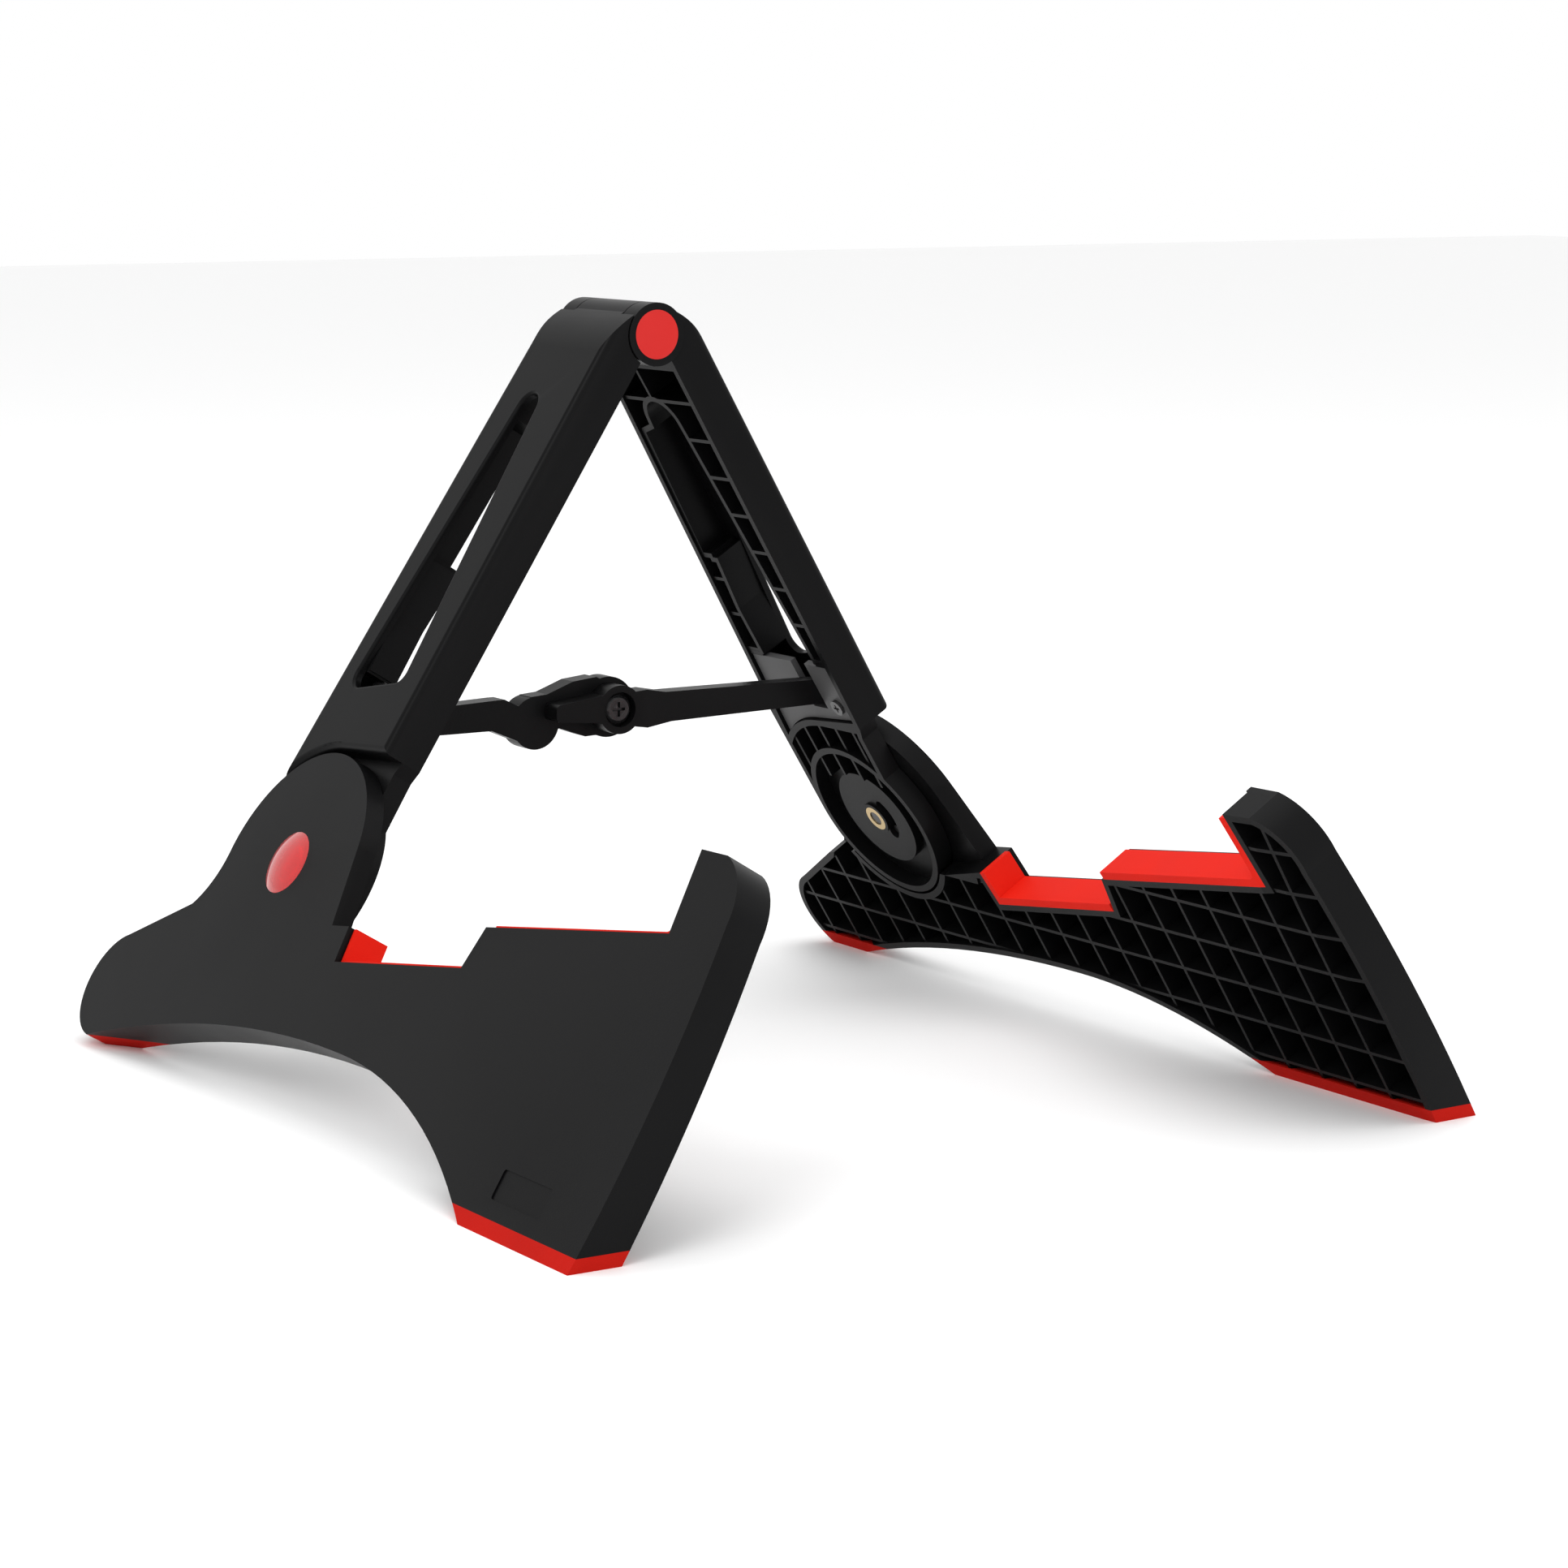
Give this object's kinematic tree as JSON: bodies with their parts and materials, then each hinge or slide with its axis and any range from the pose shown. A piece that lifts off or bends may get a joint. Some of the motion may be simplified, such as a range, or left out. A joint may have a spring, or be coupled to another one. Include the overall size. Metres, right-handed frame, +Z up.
{
  "type": "folding instrument stand",
  "caption": "Folding A-frame floor stand for a stringed instrument, with stepped rubber-padded cradle arms and a hinged cross brace.",
  "frame": {"origin": "on the floor, at the middle of the space the open stand covers", "axes": "+Z up, -Y the front, where the cradle arms point, +X to the right-hand side"},
  "size_m": [0.2932, 0.3052, 0.2214],
  "materials": {
    "black_plastic": "fine moulded texture",
    "grey_plastic": "smooth",
    "red_rubber": "matte",
    "foot_rubber": "matte",
    "red_clear": "clear tinted, polished",
    "red_cap": "smooth",
    "steel": "turned",
    "black_steel": "blackened",
    "brass": "turned",
    "washer": "smooth"
  },
  "bodies": {
    "left_side": {"left_leg": "black_plastic", "left_brace_bracket": "grey_plastic", "left_bracket_screws": "black_steel", "left_brace_pin": "steel", "left_hub_insert": "brass", "left_hub_bolt": "black_steel", "left_hub_washer": "washer"},
    "right_side": {"right_leg": "black_plastic", "right_brace_bracket": "grey_plastic", "right_bracket_screws": "black_steel", "right_brace_pin": "steel", "right_hub_insert": "brass", "right_hub_bolt": "black_steel", "right_hub_washer": "washer", "hinge_pin": "steel", "front_hinge_cap": "red_cap", "rear_hinge_cap": "red_cap"},
    "left_cradle_foot": {"left_foot": "black_plastic", "left_lower_cradle_pad": "red_rubber", "left_upper_cradle_pad": "red_rubber", "left_front_foot_pad": "foot_rubber", "left_rear_foot_pad": "foot_rubber", "left_hub_cap": "red_clear"},
    "right_cradle_foot": {"right_foot": "black_plastic", "right_lower_cradle_pad": "red_rubber", "right_upper_cradle_pad": "red_rubber", "right_front_foot_pad": "foot_rubber", "right_rear_foot_pad": "foot_rubber", "right_hub_cap": "red_clear"},
    "left_link": {"left_brace_link": "black_plastic", "knuckle_nut": "steel"},
    "right_link": {"right_brace_link": "black_plastic", "knuckle_screw": "black_steel"}
  },
  "joints": [
    {"name": "a_frame_hinge", "type": "hinge", "parent": "left_side", "child": "right_side", "pos_m": [0, 0.06577, 0.21211], "axis": [0, 1, 0], "range_deg": [0, 63.3]},
    {"name": "right_foot_fold", "type": "hinge", "parent": "right_side", "child": "right_cradle_foot", "pos_m": [0.09694, 0.07327, 0.05542], "axis": [-0.8513, 0, -0.5247], "range_deg": [0, 75.01]},
    {"name": "left_foot_fold", "type": "hinge", "parent": "left_side", "child": "left_cradle_foot", "pos_m": [-0.09694, 0.07327, 0.05542], "axis": [-0.8513, 0, 0.5247], "range_deg": [0, 75.01]},
    {"name": "right_brace_pivot", "type": "hinge", "parent": "right_side", "child": "right_link", "pos_m": [0.07729, 0.07327, 0.09911], "axis": [0, 1, 0], "range_deg": [0, 53.54]},
    {"name": "left_brace_pivot", "type": "hinge", "parent": "left_side", "child": "left_link", "pos_m": [-0.07729, 0.07327, 0.09911], "axis": [0, -1, 0], "range_deg": [0, 53.54]}
  ],
  "couplings": [
    {"joint": "right_foot_fold", "follows": "a_frame_hinge", "ratio": 1.1848},
    {"joint": "left_foot_fold", "follows": "a_frame_hinge", "ratio": 1.1848},
    {"joint": "right_brace_pivot", "follows": "a_frame_hinge", "ratio": 0.84559},
    {"joint": "left_brace_pivot", "follows": "a_frame_hinge", "ratio": 0.84559}
  ]
}
